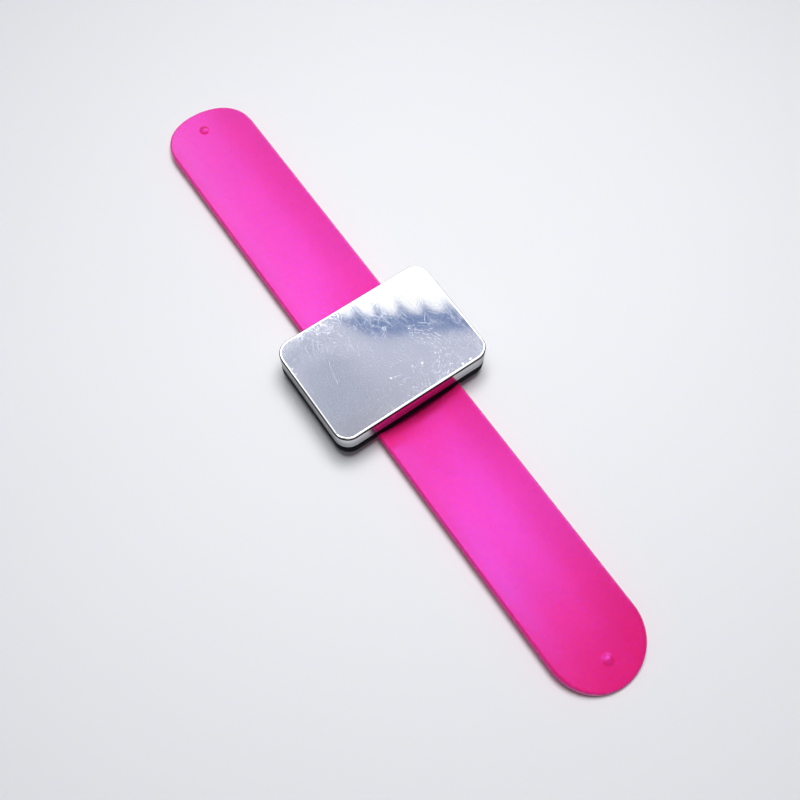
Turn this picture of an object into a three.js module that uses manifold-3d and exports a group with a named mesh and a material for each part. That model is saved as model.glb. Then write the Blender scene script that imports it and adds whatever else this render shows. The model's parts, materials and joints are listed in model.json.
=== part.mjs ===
// Magnetic wristband: a slap strap of silicone over spring steel tape, with a magnetic pin plate on top.
// Millimetres, +Z up. X runs along the strap and Y across it. The strap's middle is at X = 0 and Y = 0,
// and its lowest line, the middle of the trough's underside, is at Z = 0.

import * as THREE from "three";
import { mergeVertices } from "three/addons/utils/BufferGeometryUtils.js";
import Module from "manifold-3d";

// Strap: a shallow trough that opens upwards, with full-round ends.
const strap_length = 240.7;
const strap_width = 31.2;
const strap_thickness = 2;
const trough_rise = 3.3;
const strap_edge_radius = 0.6;

// Links: the strap is one strip on the real object, cut here so that it can curl.
const link_count = 9;
const first_hinge = 16;
const link_gap = 0.3;
const tip_straight = 0.8;

// Nub moulded on the strap near each end.
const nub_diameter = 3.4;
const nub_height = 0.9;
const nub_from_tip = 8.3;

// Spring tape in the strap.
const tape_width = 23;
const tape_thickness = 0.3;
const tape_from_tip = 4;

// Head: where it sits on the strap, and the steel cap that pins cling to.
const head_shift_along = 0.9;
const head_shift_across = -0.45;
const plate_length = 55;
const plate_width = 38.8;
const plate_height = 6.55;
const plate_corner_radius = 5;
const plate_edge_radius = 1;
const sheet_thickness = 0.5;

// Moulded base below the cap.
const base_lift = 2;
const base_wall_height = 4.15;
const base_floor = 3.1;
const base_edge_radius = 0.5;
const pocket_wall = 1.2;
const pocket_rib = 1.6;
const pocket_corner_radius = 1.2;

// Foam pads.
const plate_pad_thickness = 0.5;
const plate_pad_inset = 1;
const strap_pad_length = 26;
const strap_pad_lip = 0.3;

// Room between pieces that touch on the real object, and how far a cutter runs past what it cuts.
const seat = 0.3;
const overrun = 2;

// How finely round stretches are cut.
const trough_facets = 7;
const corner_steps = 3;
const plate_corner_steps = 5;
const plate_edge_steps = 3;
const tip_steps = 16;
const nub_steps = 16;
const nub_rings = 3;

// The trough is an arc in section: its underside's radius follows from its width and rise.
// The arc ends where its rounded edge just reaches the strap's width.
const half_width = strap_width / 2;
const under_radius = (half_width ** 2 + trough_rise ** 2) / (2 * trough_rise);
const edge_radius = Math.min(strap_edge_radius, strap_thickness / 2 - seat);
const edge_centre_radius = under_radius - edge_radius;
const half_angle =
  Math.asin((half_width - edge_radius) / edge_centre_radius) + edge_radius / edge_centre_radius;
const facet_angle = (2 * half_angle) / trough_facets;
const arc_centre_height = under_radius * Math.cos(facet_angle / 2);
const top_radius = under_radius - strap_thickness;
const tape_radius = under_radius - strap_thickness / 2;
const sleeve_wall = (strap_thickness - tape_thickness) / 2 - seat;

// Places along the strap.
const tip = strap_length / 2;
const tip_link_start = tip - half_width - tip_straight;
const link_pitch = (tip_link_start - first_hinge) / (link_count - 1);

// Heights in the head, from the base's bottom to the top of the plate.
const base_bottom = strap_thickness + base_lift;
const base_shoulder = base_bottom + base_wall_height;
const plate_bottom = base_shoulder + seat;
const plate_top = plate_bottom + plate_height;
const plate_ceiling = plate_top - sheet_thickness;
const pad_bottom = plate_ceiling - seat - plate_pad_thickness;
const magnet_top = pad_bottom - seat;
const pocket_floor = base_bottom + base_floor;

// Outlines in the head, as half sizes along X and Y and a corner radius.
const plate_outline = { x: plate_width / 2, y: plate_length / 2, corner: plate_corner_radius };
const cavity_outline = inset(plate_outline, sheet_thickness);
const spigot_outline = inset(cavity_outline, seat);
const pocket_outline = {
  x: spigot_outline.x - pocket_wall,
  y: (spigot_outline.y - pocket_wall - pocket_rib / 2) / 2,
  corner: pocket_corner_radius,
};
const magnet_outline = inset(pocket_outline, seat);
const pocket_centre = pocket_rib / 2 + pocket_outline.y;

const silicone = new THREE.MeshStandardMaterial({ color: 0xf03cb4, roughness: 0.55, metalness: 0 });
const spring_steel = new THREE.MeshStandardMaterial({ color: 0x9a9da3, roughness: 0.35, metalness: 1 });
const polished_steel = new THREE.MeshStandardMaterial({ color: 0xc9ccd2, roughness: 0.12, metalness: 1 });
const black_plastic = new THREE.MeshStandardMaterial({ color: 0x17171b, roughness: 0.6, metalness: 0 });
const ferrite = new THREE.MeshStandardMaterial({ color: 0x3b3a3d, roughness: 0.8, metalness: 0 });
const foam = new THREE.MeshStandardMaterial({ color: 0x2a2a2c, roughness: 0.95, metalness: 0 });

const quarter_turn = Math.PI / 2;

const wasm = await Module();
wasm.setup();

// A closed geometry as a solid that can be cut and joined.
function toSolid(geometry) {
  const bare = geometry.clone();
  bare.deleteAttribute("normal");
  bare.deleteAttribute("uv");
  const merged = mergeVertices(bare);
  return new wasm.Manifold(
    new wasm.Mesh({
      numProp: 3,
      vertProperties: new Float32Array(merged.attributes.position.array),
      triVerts: new Uint32Array(merged.index.array),
    }),
  );
}

// A solid back as a geometry.
function toGeometry(solid) {
  const mesh = solid.getMesh();
  const geometry = new THREE.BufferGeometry();
  geometry.setAttribute("position", new THREE.BufferAttribute(new Float32Array(mesh.vertProperties), 3));
  geometry.setIndex(new THREE.BufferAttribute(new Uint32Array(mesh.triVerts), 1));
  geometry.computeVertexNormals();
  return geometry;
}

// Points of an arc, both ends included.
function arc(centre_x, centre_y, radius, from, to, steps) {
  return Array.from({ length: steps + 1 }, (_, i) => {
    const angle = from + ((to - from) * i) / steps;
    return new THREE.Vector2(centre_x + radius * Math.cos(angle), centre_y + radius * Math.sin(angle));
  });
}

// A section in Y and Z, drawn in a shape's X and Y, drawn out along X.
function alongStrap(outline, from, to) {
  const geometry = new THREE.ExtrudeGeometry(new THREE.Shape(outline), {
    depth: to - from,
    bevelEnabled: false,
  });
  const turn = new THREE.Matrix4().makeBasis(
    new THREE.Vector3(0, 1, 0),
    new THREE.Vector3(0, 0, 1),
    new THREE.Vector3(1, 0, 0),
  );
  return geometry.applyMatrix4(turn).translate(from, 0, 0);
}

// An outline in X and Y, drawn up along Z.
function upwards(outline, from, to) {
  const geometry = new THREE.ExtrudeGeometry(new THREE.Shape(outline), {
    depth: to - from,
    bevelEnabled: false,
  });
  return geometry.translate(0, 0, from);
}

// A point of the trough's section: its distance from the arc's centre, and its angle from straight down.
function onTrough(radius, angle) {
  return new THREE.Vector2(radius * Math.sin(angle), arc_centre_height - radius * Math.cos(angle));
}

// An arc of the trough's section, at one distance from its centre.
function troughArc(radius, from, to) {
  return Array.from({ length: trough_facets + 1 }, (_, i) =>
    onTrough(radius, from + ((to - from) * i) / trough_facets),
  );
}

// A band of the trough's section with square edges.
function band(outer, inner, angle) {
  return [...troughArc(outer, -angle, angle), ...troughArc(inner, angle, -angle)];
}

// The rounded corner between the band's end at one angle and its arc at one radius. Its quarter turn starts
// at a number of quarters from straight out of the underside.
function bandCorner(radius, angle, quarters) {
  const centre_radius = radius > tape_radius ? radius - edge_radius : radius + edge_radius;
  const centre = onTrough(centre_radius, angle - (Math.sign(angle) * edge_radius) / centre_radius);
  const start = angle + (quarters - 1) * quarter_turn;
  return arc(centre.x, centre.y, edge_radius, start, start + quarter_turn, corner_steps);
}

// The strap's section: a band with rounded edges.
function strapSection() {
  const under = troughArc(under_radius, -half_angle, half_angle);
  const over = troughArc(top_radius, half_angle, -half_angle);
  return [
    ...under.slice(1, -1),
    ...bandCorner(under_radius, half_angle, 0),
    ...bandCorner(top_radius, half_angle, 1),
    ...over.slice(1, -1),
    ...bandCorner(top_radius, -half_angle, 2),
    ...bandCorner(under_radius, -half_angle, 3),
  ];
}

// The room that the tape has in the strap, and the tape itself.
function cavitySection() {
  const reach = tape_thickness / 2 + seat;
  return band(tape_radius + reach, tape_radius - reach, (tape_width / 2 + seat) / tape_radius);
}

function tapeSection() {
  const reach = tape_thickness / 2;
  return band(tape_radius + reach, tape_radius - reach, tape_width / 2 / tape_radius);
}

// A cutter that keeps what lies inside a full-round end, seen from above.
function roundEnd(radius, end) {
  const back = first_hinge;
  const outline = [
    new THREE.Vector2(back, -radius - overrun),
    new THREE.Vector2(end - radius, -radius - overrun),
    ...arc(end - radius, 0, radius, -quarter_turn, quarter_turn, tip_steps),
    new THREE.Vector2(end - radius, radius + overrun),
    new THREE.Vector2(back, radius + overrun),
  ];
  return toSolid(upwards(outline, -overrun, strap_thickness + trough_rise + overrun));
}

// The nub: a low dome on the middle of the trough, sunk halfway into the sleeve's wall so that the two join.
function nub() {
  const radius = nub_diameter / 2;
  const sink = sleeve_wall / 2;
  const dome = Array.from({ length: nub_rings + 1 }, (_, i) => {
    const angle = (quarter_turn * i) / nub_rings;
    return new THREE.Vector2(radius * Math.cos(angle), nub_height * Math.sin(angle));
  });
  dome[nub_rings].x = 0;
  const profile = [new THREE.Vector2(0, -sink), new THREE.Vector2(radius, -sink), ...dome];
  const geometry = new THREE.LatheGeometry(profile, nub_steps).rotateX(quarter_turn);
  return toSolid(geometry.translate(tip - nub_from_tip, 0, strap_thickness));
}

// One length of the sleeve between two joints, open at both ends.
function sleeveLength(from, to) {
  const outside = toSolid(alongStrap(strapSection(), from, to));
  const room = toSolid(alongStrap(cavitySection(), from - overrun, to + overrun));
  return toGeometry(outside.subtract(room));
}

// The sleeve's last length, with its full-round end, its nub and a cavity that stops short of the tip.
function sleeveTip(from) {
  const length = toSolid(alongStrap(strapSection(), from, tip + overrun));
  const outside = length.intersect(roundEnd(half_width, tip));
  const room = toSolid(alongStrap(cavitySection(), from - overrun, tip)).intersect(
    roundEnd(tape_width / 2 + seat, tip - tape_from_tip + seat),
  );
  return toGeometry(outside.add(nub()).subtract(room));
}

// The tape's last length, with a full-round end.
function tapeTip(from) {
  const strip = toSolid(alongStrap(tapeSection(), from, tip));
  return toGeometry(strip.intersect(roundEnd(tape_width / 2, tip - tape_from_tip)));
}

// An outline pulled in by one distance all round.
function inset(outline, by) {
  return { x: outline.x - by, y: outline.y - by, corner: Math.max(outline.corner - by, sheet_thickness) };
}

// The points of a rectangle with rounded corners.
function roundedRectangle({ x, y, corner }) {
  const centres = [
    [x - corner, y - corner],
    [corner - x, y - corner],
    [corner - x, corner - y],
    [x - corner, corner - y],
  ];
  return centres.flatMap(([centre_x, centre_y], i) =>
    arc(centre_x, centre_y, corner, quarter_turn * i, quarter_turn * (i + 1), plate_corner_steps),
  );
}

// A block through a stack of outlines, each at its height, lowest first.
function stack(layers) {
  const rings = layers.map(({ outline, height }) =>
    roundedRectangle(outline).map((point) => new THREE.Vector3(point.x, point.y, height)),
  );
  const count = rings[0].length;
  const flat = rings[0].map((point) => new THREE.Vector2(point.x, point.y));
  const cap = THREE.ShapeUtils.triangulateShape(flat, []);
  const last = (rings.length - 1) * count;
  const index = cap.flatMap(([a, b, c]) => [c, b, a, last + a, last + b, last + c]);
  for (let ring = 0; ring < rings.length - 1; ring += 1) {
    for (let i = 0; i < count; i += 1) {
      const near = ring * count + i;
      const next = ring * count + ((i + 1) % count);
      index.push(near, next, next + count, near, next + count, near + count);
    }
  }
  const geometry = new THREE.BufferGeometry().setFromPoints(rings.flat());
  geometry.setIndex(index);
  geometry.computeVertexNormals();
  return geometry;
}

// Layers of a rounded top edge, below a height.
function roundedTop(outline, radius, height, steps) {
  return Array.from({ length: steps + 1 }, (_, i) => {
    const angle = (quarter_turn * i) / steps;
    return {
      outline: inset(outline, radius * (1 - Math.cos(angle))),
      height: height - radius * (1 - Math.sin(angle)),
    };
  });
}

// The drawn steel cap: a flat top, a rounded edge and a straight skirt, open below.
function pinPlate() {
  const outside = toSolid(
    stack([
      { outline: plate_outline, height: plate_bottom },
      ...roundedTop(plate_outline, plate_edge_radius, plate_top, plate_edge_steps),
    ]),
  );
  const bend = Math.max(plate_edge_radius - sheet_thickness, sheet_thickness / 2);
  const inside = toSolid(
    stack([
      { outline: cavity_outline, height: plate_bottom - overrun },
      ...roundedTop(cavity_outline, bend, plate_ceiling, plate_edge_steps),
    ]),
  );
  return toGeometry(outside.subtract(inside));
}

// What the strap takes out of the base's underside: the trough's top and edges, with room around them.
function strapCutter() {
  const reach = plate_outline.x + overrun;
  const over = troughArc(top_radius - seat, half_angle, -half_angle);
  const side = half_width + seat;
  const outline = [
    new THREE.Vector2(-side, -overrun),
    new THREE.Vector2(side, -overrun),
    new THREE.Vector2(side, over[0].y),
    ...over,
    new THREE.Vector2(-side, over[0].y),
  ];
  return toSolid(alongStrap(outline, -reach, reach).translate(0, -head_shift_across, 0));
}

// The moulded base: a wall flush with the plate, a spigot that fills the cap, and a pocket for each magnet.
function magnetBase() {
  const body = toSolid(
    stack([
      { outline: inset(plate_outline, base_edge_radius), height: base_bottom },
      { outline: plate_outline, height: base_bottom + base_edge_radius },
      { outline: plate_outline, height: base_shoulder },
      { outline: spigot_outline, height: base_shoulder },
      { outline: spigot_outline, height: magnet_top },
    ]),
  );
  const pocket = (side) =>
    toSolid(
      stack([
        { outline: pocket_outline, height: pocket_floor },
        { outline: pocket_outline, height: magnet_top + overrun },
      ]).translate(0, side * pocket_centre, 0),
    );
  return toGeometry(body.subtract(pocket(1)).subtract(pocket(-1)).subtract(strapCutter()));
}

// A block magnet, standing on its pocket's floor.
function magnet() {
  return stack([
    { outline: magnet_outline, height: pocket_floor + seat },
    { outline: magnet_outline, height: magnet_top },
  ]);
}

// The foam between the magnets and the cap.
function platePad() {
  const outline = inset(spigot_outline, plate_pad_inset);
  return stack([
    { outline, height: pad_bottom },
    { outline, height: pad_bottom + plate_pad_thickness },
  ]);
}

// The foam between the base and the strap: flat above, and bedded in the trough below.
function strapPad() {
  const top = base_bottom - seat;
  const radius = top_radius - seat;
  const angle = Math.acos((arc_centre_height - top + strap_pad_lip) / radius);
  const under = troughArc(radius, -angle, angle);
  const edge = under[trough_facets].x;
  const outline = [...under, new THREE.Vector2(edge, top), new THREE.Vector2(-edge, top)];
  return alongStrap(outline, -strap_pad_length / 2, strap_pad_length / 2);
}

// Adds a named mesh to a group and returns it.
function add(group, name, geometry, material) {
  const mesh = new THREE.Mesh(geometry, material);
  mesh.name = name;
  group.add(mesh);
  return mesh;
}

// The middle of the strap, which carries the head.
function addCentre(group) {
  const end = first_hinge - link_gap / 2;
  add(group, "centre_sleeve", sleeveLength(-end, end), silicone);
  add(group, "centre_spring", alongStrap(tapeSection(), -end, end), spring_steel);
}

// One tail of the strap, drawn towards +X; the other is the same tail turned half round.
function addTail(group, name) {
  for (let link = 1; link < link_count; link += 1) {
    const from = first_hinge + link_pitch * (link - 1) + link_gap / 2;
    const to = from + link_pitch - link_gap;
    add(group, `${name}_sleeve_${link}`, sleeveLength(from, to), silicone);
    add(group, `${name}_spring_${link}`, alongStrap(tapeSection(), from, to), spring_steel);
  }
  const from = tip_link_start + link_gap / 2;
  add(group, `${name}_sleeve_${link_count}`, sleeveTip(from), silicone);
  add(group, `${name}_spring_${link_count}`, tapeTip(from), spring_steel);
}

// The head: cap, pads, magnets and base.
function addHead(group) {
  add(group, "pin_plate", pinPlate(), polished_steel);
  add(group, "plate_pad", platePad(), foam);
  add(group, "magnet_base", magnetBase(), black_plastic);
  add(group, "front_magnet", magnet(), ferrite).position.y = -pocket_centre;
  add(group, "rear_magnet", magnet(), ferrite).position.y = pocket_centre;
}

const wristband = new THREE.Group();

const strap = new THREE.Group();
addCentre(strap);
wristband.add(strap);

const right_tail = new THREE.Group();
addTail(right_tail, "right");
strap.add(right_tail);

const left_tail = new THREE.Group();
left_tail.rotation.z = Math.PI;
addTail(left_tail, "left");
strap.add(left_tail);

const head = new THREE.Group();
head.position.set(head_shift_along, head_shift_across, 0);
addHead(head);
wristband.add(head);

add(wristband, "strap_pad", strapPad(), foam);

export default wristband;
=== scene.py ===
"""Magnetic wristband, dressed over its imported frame.

A slap strap of satin silicone over spring tape, and on its middle a moulded base with two magnets under a
polished steel pin plate. Metres, +X along the strap, +Y across it and +Z up through the plate.
"""

import json
import math

import bmesh
import bpy
import numpy as np
from bpy.props import FloatProperty, FloatVectorProperty, IntProperty, PointerProperty
from mathutils import Matrix, Vector


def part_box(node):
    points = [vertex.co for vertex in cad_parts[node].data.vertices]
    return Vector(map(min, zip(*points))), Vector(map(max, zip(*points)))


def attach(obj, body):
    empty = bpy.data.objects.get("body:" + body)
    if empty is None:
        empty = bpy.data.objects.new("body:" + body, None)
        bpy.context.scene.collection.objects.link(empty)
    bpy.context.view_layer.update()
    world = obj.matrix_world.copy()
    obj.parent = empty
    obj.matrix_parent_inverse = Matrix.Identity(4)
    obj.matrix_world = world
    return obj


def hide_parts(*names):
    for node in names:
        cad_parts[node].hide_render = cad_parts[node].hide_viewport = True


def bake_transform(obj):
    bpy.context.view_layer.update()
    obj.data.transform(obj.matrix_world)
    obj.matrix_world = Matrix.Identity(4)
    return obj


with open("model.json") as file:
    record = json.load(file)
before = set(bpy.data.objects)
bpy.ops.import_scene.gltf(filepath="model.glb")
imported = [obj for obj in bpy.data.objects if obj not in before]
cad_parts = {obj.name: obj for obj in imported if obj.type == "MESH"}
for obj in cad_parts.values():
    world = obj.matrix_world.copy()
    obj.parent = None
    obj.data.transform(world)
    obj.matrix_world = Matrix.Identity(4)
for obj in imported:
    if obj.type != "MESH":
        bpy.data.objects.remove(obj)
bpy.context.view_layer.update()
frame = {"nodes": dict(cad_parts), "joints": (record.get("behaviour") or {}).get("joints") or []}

bl_info = {
    "name": "Magnetic Wristband",
    "version": (1, 0, 0),
    "blender": (4, 5, 0),
    "location": "View3D > Sidebar > Wristband",
    "description": "Makes a slap wristband with a magnetic pin plate",
    "category": "Add Mesh",
}

MM = 0.001
SIDES = {"right": 1, "left": -1}
REST_PLACE = "rest_place"

HINGES = {joint["name"]: abs(joint["pos_m"][0]) for joint in frame["joints"]}
LINKS = len(HINGES) // len(SIDES)


def box_size(node):
    """The size of a CAD node's box along X, Y and Z."""
    low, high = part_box(node)
    return [top - bottom for bottom, top in zip(low, high)]


def box_middle(node):
    """The middle of a CAD node's box."""
    low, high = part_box(node)
    return [(bottom + top) / 2 for bottom, top in zip(low, high)]


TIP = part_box(f"right_sleeve_{LINKS}")[1][0]
PLATE_LOW, PLATE_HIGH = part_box("pin_plate")
BASE_LOW, BASE_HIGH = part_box("magnet_base")
HEAD_X, HEAD_Y, _ = box_middle("pin_plate")


# Sizes and colours


def length_setting(name, description, metres):
    """A setting that is a length."""
    return FloatProperty(name=name, description=description, default=metres, unit="LENGTH")


def colour_setting(name, description, default):
    """A setting that is a colour."""
    return FloatVectorProperty(name=name, description=description, default=default, subtype="COLOR")


def number_setting(name, description, default, subtype="NONE"):
    """A setting that is a plain number."""
    return FloatProperty(name=name, description=description, default=default, subtype=subtype)


def count_setting(name, description, default, least):
    """A setting that is a whole number."""
    return IntProperty(name=name, description=description, default=default, min=least)


class StrapSettings(bpy.types.PropertyGroup):
    """Sizes and finish of the silicone strap."""

    width: length_setting("Width", "Width of the strap", box_size("centre_sleeve")[1])
    rise: length_setting("Trough rise", "How far the underside's edges stand over its middle", 3.3 * MM)
    thickness: length_setting("Thickness", "Thickness of the strap", 2 * MM)
    edge_radius: length_setting("Edge radius", "Rounding of the strap's long edges", 0.6 * MM)
    tape_width: length_setting("Tape room width", "Width of the room for the tape", 23.6 * MM)
    tape_room: length_setting("Tape room height", "Height of the room for the tape", 0.9 * MM)
    tape_stop: length_setting("Tape room stop", "From the tip to the end of the tape's room", 3.7 * MM)
    nub_diameter: length_setting("Nub diameter", "Diameter of the nub near each tip", 3.6 * MM)
    nub_height: length_setting("Nub height", "Height of the nub over the trough", 0.85 * MM)
    nub_from_tip: length_setting("Nub from tip", "Distance from the tip to the nub's middle", 8.3 * MM)
    around: count_setting("Points around", "Points around the section", 320, 64)
    rows: count_setting("Rows", "Rows of faces along one length", 16, 4)
    colour: colour_setting("Colour", "Colour of the silicone", (0.885, 0.0105, 0.15))
    sheen_colour: colour_setting("Reflection tint", "Tint of the satin reflection", (0.08, 0.125, 1.0))
    roughness: number_setting("Roughness", "Roughness of the satin skin", 0.27, "FACTOR")


class PlateSettings(bpy.types.PropertyGroup):
    """Sizes and finish of the steel pin plate."""

    corner_radius: length_setting("Corner radius", "Radius of the upright corners", 5 * MM)
    edge_radius: length_setting("Edge radius", "Radius between top and skirt", 0.65 * MM)
    sheet: length_setting("Sheet", "Thickness of the steel", 0.5 * MM)
    colour: colour_setting("Colour", "Colour of the steel", (0.83, 0.835, 0.86))
    polish: number_setting("Roughness", "Roughness of the polished steel", 0.035, "FACTOR")


class BaseSettings(bpy.types.PropertyGroup):
    """Sizes and finish of the moulded base and of what is under the plate."""

    edge_radius: length_setting("Edge radius", "Rounding of the bottom edge", 0.5 * MM)
    seat: length_setting("Seat", "Room between the base and what touches it", 0.3 * MM)
    wall_height: length_setting("Wall height", "Height of the wall below the plate", 4.15 * MM)
    floor_height: length_setting("Floor", "Thickness under the magnets", 3.1 * MM)
    colour: colour_setting("Colour", "Colour of the moulded base", (0.003, 0.003, 0.005))
    foam_colour: colour_setting("Foam colour", "Colour of the foam pads", (0.03, 0.03, 0.032))


class StageSettings(bpy.types.PropertyGroup):
    """The floor, the light, what the steel mirrors, and the camera's lens."""

    floor_colour: colour_setting("Floor colour", "Colour of the floor", (0.885, 0.893, 0.915))
    sky_colour: colour_setting("Sky colour", "Colour of the light from all round", (0.86, 0.89, 1.0))
    sky: number_setting("Sky", "Strength of the light from all round", 0.17)
    overhead_power: number_setting("Overhead", "Power of the soft lamp over the object", 2.24, "POWER")
    horizon: number_setting("Mirrored horizon", "Brightness of the mirrored horizon", 0.4)
    room: number_setting("Mirrored room", "Brightness of the mirrored room", 1.5)
    ceiling: number_setting("Mirrored ceiling", "Brightness of the mirrored ceiling", 4.75)
    window: number_setting("Mirrored window", "Brightness of the mirrored window", 1.22)
    lens: number_setting("Lens", "Focal length for a 36 mm sensor", 42.9325)


# Node trees


def math_node(operation, swapped=False):
    """A method of Level that adds one Math node; swapped puts the level itself last."""

    def method(self, *others):
        numbers = (*others, self) if swapped else (self, *others)
        made = self.wiring.make("ShaderNodeMath", {"operation": operation})
        for socket, number in zip(made.inputs, numbers):
            self.wiring.feed(socket, number)
        return Level(self.wiring, made.outputs[0])

    return method


class Level:
    """A number that varies over a surface: Python's operators on it add Math nodes."""

    def __init__(self, wiring, socket):
        self.wiring = wiring
        self.socket = socket

    __add__ = __radd__ = math_node("ADD")
    __sub__ = math_node("SUBTRACT")
    __rsub__ = math_node("SUBTRACT", swapped=True)
    __mul__ = __rmul__ = math_node("MULTIPLY")
    __truediv__ = math_node("DIVIDE")
    __abs__ = math_node("ABSOLUTE")
    smaller = math_node("MINIMUM")
    larger = math_node("MAXIMUM")
    sine = math_node("SINE")
    cosine = math_node("COSINE")
    root = math_node("SQRT")
    folded = math_node("PINGPONG")

    def wave(self, length):
        """A triangle wave between 0 and 1."""
        return (self / length).folded(1)

    def above(self, low, high):
        """0 below the low mark, 1 over the high one and smooth between."""
        made = self.wiring.make("ShaderNodeMapRange", {"interpolation_type": "SMOOTHSTEP"})
        for name, number in (("Value", self), ("From Min", low), ("From Max", high)):
            self.wiring.feed(made.inputs[name], number)
        return Level(self.wiring, made.outputs[0])

    def below(self, low, high):
        """1 below the low mark, 0 over the high one and smooth between."""
        return 1 - self.above(low, high)


class Wiring:
    """A node tree being built."""

    def __init__(self, tree):
        self.tree = tree

    def feed(self, socket, value):
        """Links a socket to another or sets its value."""
        if isinstance(value, Level):
            value = value.socket
        if isinstance(value, bpy.types.NodeSocket):
            self.tree.links.new(value, socket)
        else:
            socket.default_value = value

    def make(self, kind, settings=None, **sockets):
        """A node of any kind: its settings first, then its sockets by identifier or name."""
        made = self.tree.nodes.new(kind)
        for name, value in (settings or {}).items():
            setattr(made, name, value)
        for name, value in sockets.items():
            known = [s for s in made.inputs if s.identifier == name]
            spoken = name.replace("_", " ")
            known = known or [s for s in made.inputs if s.name == spoken and s.enabled]
            self.feed(known[0], value)
        return made

    def out(self, kind, settings=None, **sockets):
        """A new node's first output."""
        return self.make(kind, settings, **sockets).outputs[0]

    def level(self, kind, output, **sockets):
        """A new node's output of that name, as a number."""
        return Level(self, self.make(kind, **sockets).outputs[output])

    def parts(self, vector):
        """The X, Y and Z of a vector."""
        made = self.make("ShaderNodeSeparateXYZ", Vector=vector)
        return [Level(self, socket) for socket in made.outputs]

    def joined(self, x, y, z):
        """A vector from three numbers."""
        return self.out("ShaderNodeCombineXYZ", X=x, Y=y, Z=z)

    def tint(self, mask, first, second):
        """The first colour where the mask is 0 and the second where it is 1."""
        one, two = (part if hasattr(part, "is_linked") else (*part, 1) for part in (first, second))
        made = self.make("ShaderNodeMix", {"data_type": "RGBA"}, Factor_Float=mask, A_Color=one, B_Color=two)
        return next(s for s in made.outputs if s.identifier == "Result_Color")

    def layered(self, colour, *layers):
        """A colour with others laid over it, each given as its mask and itself."""
        for mask, over in layers:
            colour = self.tint(mask, colour, over)
        return colour


class Finish(Wiring):
    """A procedural material on one principled shader."""

    def __init__(self, name):
        self.material = bpy.data.materials.new(name)
        self.material.use_nodes = True
        super().__init__(self.material.node_tree)
        self.shader = self.tree.nodes["Principled BSDF"]

    def millimetres(self, middle=(0, 0, 0)):
        """The place on the object in millimetres, from a middle."""
        place = self.make("ShaderNodeTexCoord").outputs["Object"]
        return self.scaled(place, middle)

    def rest_millimetres(self):
        """The place on a bending piece as it lies at rest, in millimetres."""
        made = self.make("ShaderNodeAttribute", {"attribute_type": "GEOMETRY", "attribute_name": REST_PLACE})
        return self.scaled(made.outputs["Vector"], (0, 0, 0))

    def scaled(self, place, middle):
        """A place in metres, turned into millimetres from a middle."""
        shift = tuple(-part / MM for part in middle)
        return self.out("ShaderNodeMapping", Vector=place, Location=shift, Scale=(1 / MM,) * 3)

    def turned(self, place, degrees, stretch):
        """A place turned about Z and then stretched."""
        turned = self.out("ShaderNodeMapping", Vector=place, Rotation=(0, 0, math.radians(degrees)))
        return self.out("ShaderNodeMapping", Vector=turned, Scale=stretch)

    def noise(self, place, scale, detail=2.0, roughness=0.5):
        """Soft noise between 0 and 1; scale is in features per millimetre."""
        return self.level(
            "ShaderNodeTexNoise", "Fac", Vector=place, Scale=scale, Detail=detail, Roughness=roughness
        )

    def spots(self, place, scale, radius, kept):
        """Small round spots, one in a cell, in the share of the cells that is kept."""
        cells = self.make("ShaderNodeTexVoronoi", Vector=place, Scale=scale)
        chance = self.parts(cells.outputs["Color"])[0]
        near = Level(self, cells.outputs["Distance"]) / scale
        return near.below(radius * 0.5, radius) * chance.above(1 - kept, 1 - kept + 0.01)

    def shade(self, **sockets):
        """Sets or links the shader's own sockets."""
        for name, value in sockets.items():
            value = (*value, 1) if isinstance(value, tuple) and len(value) == 3 else value
            self.feed(self.shader.inputs[name.replace("_", " ")], value)

    def bumps(self, *layers):
        """Bump nodes in a chain, each a height and its depth in millimetres."""
        normal = None
        for height, depth in layers:
            made = self.make("ShaderNodeBump", Height=height, Distance=depth * MM, Strength=1.0)
            if normal is not None:
                self.feed(made.inputs["Normal"], normal)
            normal = made.outputs[0]
        self.feed(self.shader.inputs["Normal"], normal)


def shifted(colour, factor):
    """A colour made lighter or darker."""
    return tuple(min(part * factor, 1.0) for part in colour)


LINT_COLOUR = (0.95, 0.35, 0.62)


def silicone_finish(settings):
    """Satin silicone: fine moulded grain, slow changes of colour, a little lint, and a little pitting painted
    darker inside as painted shade.
    """
    f = Finish("satin_silicone")
    place = f.rest_millimetres()
    colour = settings.colour
    cloud = f.noise(place, 0.06, 3)
    patch = f.noise(place, 0.45, 3)
    lint = f.spots(place, 0.16, 0.26, 0.22)
    pits_and_pit_shade = f.spots(place, 0.11, 0.3, 0.14)
    base = f.tint(cloud.above(0.3, 0.7), shifted(colour, 0.97), shifted(colour, 1.03))
    # Each pit is painted a darker copy of the silicone's colour as painted shade inside it; its dent is a
    # real bump and the lint is its own colour.
    base = f.layered(base, (lint * 0.5, LINT_COLOUR), (pits_and_pit_shade * 0.55, shifted(colour, 0.45)))
    grain = f.noise(place, 3.2, 3, 0.6)
    f.shade(
        Base_Color=base,
        Roughness=settings.roughness + (patch - 0.5) * 0.05,
        Specular_IOR_Level=1.0,
        IOR=1.7,
        Specular_Tint=tuple(settings.sheen_colour),
    )
    f.bumps((f.noise(place, 0.08, 2), 0.04), (grain, 0.006), (pits_and_pit_shade - lint, 0.05))
    return f.material


def offset(f, place, middle):
    """How far a place on the plate is from a middle along X and along Y, in millimetres."""
    x, y, _ = f.parts(place)
    return x - middle[0], y - middle[1]


def scratch_line(f, place, start, end, width):
    """A straight scratch between two places on the plate."""
    off_x, off_y = offset(f, place, start)
    run = Vector(end) - Vector(start)
    unit = run.normalized()
    along = off_x * unit.x + off_y * unit.y
    across = abs(off_y * unit.x - off_x * unit.y)
    ends = along.above(0, 0.5) * along.below(run.length - 0.8, run.length)
    return across.below(width * 0.3, width) * ends


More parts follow.
